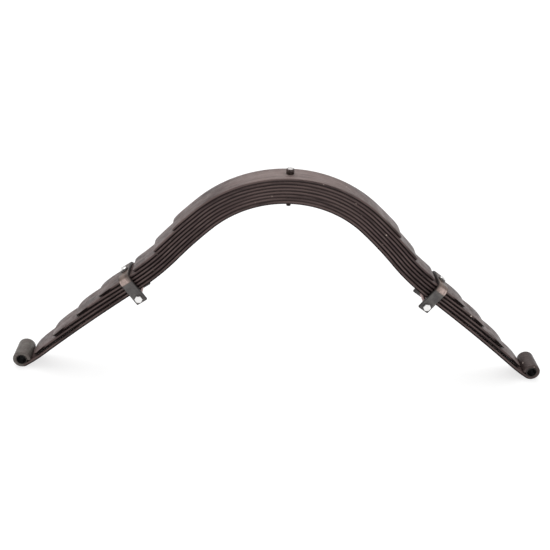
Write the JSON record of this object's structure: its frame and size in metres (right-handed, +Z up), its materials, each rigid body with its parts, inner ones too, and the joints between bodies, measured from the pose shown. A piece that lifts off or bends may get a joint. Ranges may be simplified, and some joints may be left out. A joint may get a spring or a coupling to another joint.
{
  "type": "leaf spring",
  "caption": "Arched transverse leaf spring: stacked leaves on a centre bolt, upturned rolled eyes with bushes, and riveted rebound clips closed by bolts.",
  "frame": {"origin": "on the centre bolt axis, at the seat face on top of the shortest leaf", "axes": "+X along the span from the left eye to the right eye, +Y across the leaves, +Z up toward the vehicle frame"},
  "size_m": [1.1404, 0.0906, 0.4608],
  "materials": {
    "spring_steel_painted": "semi-gloss dark coating with brown cast, dusty on top",
    "bolt_steel_dark": "dark coated steel, worn bright on top",
    "bush_steel": "dark steel",
    "clip_steel_painted": "satin dark bronze-brown coating",
    "rivet_steel": "glossy dark domed head",
    "zinc_plated_steel": "bright zinc plating"
  },
  "bodies": {
    "leaf_pack": {"main_leaf": "spring_steel_painted", "leaf_2": "spring_steel_painted", "leaf_3": "spring_steel_painted", "leaf_4": "spring_steel_painted", "leaf_5": "spring_steel_painted", "leaf_6": "spring_steel_painted", "leaf_7": "spring_steel_painted", "leaf_8": "spring_steel_painted", "centre_bolt": "bolt_steel_dark", "centre_bolt_nut": "bolt_steel_dark"},
    "left_arm": {"left_eye_bush": "bush_steel", "left_clip_strap": "clip_steel_painted", "left_clip_rivet": "rivet_steel", "left_clip_bolt": "zinc_plated_steel", "left_clip_nut": "zinc_plated_steel"},
    "right_arm": {"right_eye_bush": "bush_steel", "right_clip_strap": "clip_steel_painted", "right_clip_rivet": "rivet_steel", "right_clip_bolt": "zinc_plated_steel", "right_clip_nut": "zinc_plated_steel"}
  },
  "joints": [
    {"name": "left_arm_flex", "type": "hinge", "parent": "leaf_pack", "child": "left_arm", "pos_m": [-0.19292, 0, -0.11738], "axis": [0, 1, 0], "range_deg": [-3, 12], "stiffness_Nm_per_rad": 4100, "deforming": ["main_leaf", "leaf_2", "leaf_3", "leaf_4", "leaf_5", "leaf_6", "leaf_7", "leaf_8"]},
    {"name": "right_arm_flex", "type": "hinge", "parent": "leaf_pack", "child": "right_arm", "pos_m": [0.19292, 0, -0.11738], "axis": [0, -1, 0], "range_deg": [-3, 12], "stiffness_Nm_per_rad": 4100, "deforming": ["main_leaf", "leaf_2", "leaf_3", "leaf_4", "leaf_5", "leaf_6", "leaf_7", "leaf_8"]}
  ]
}
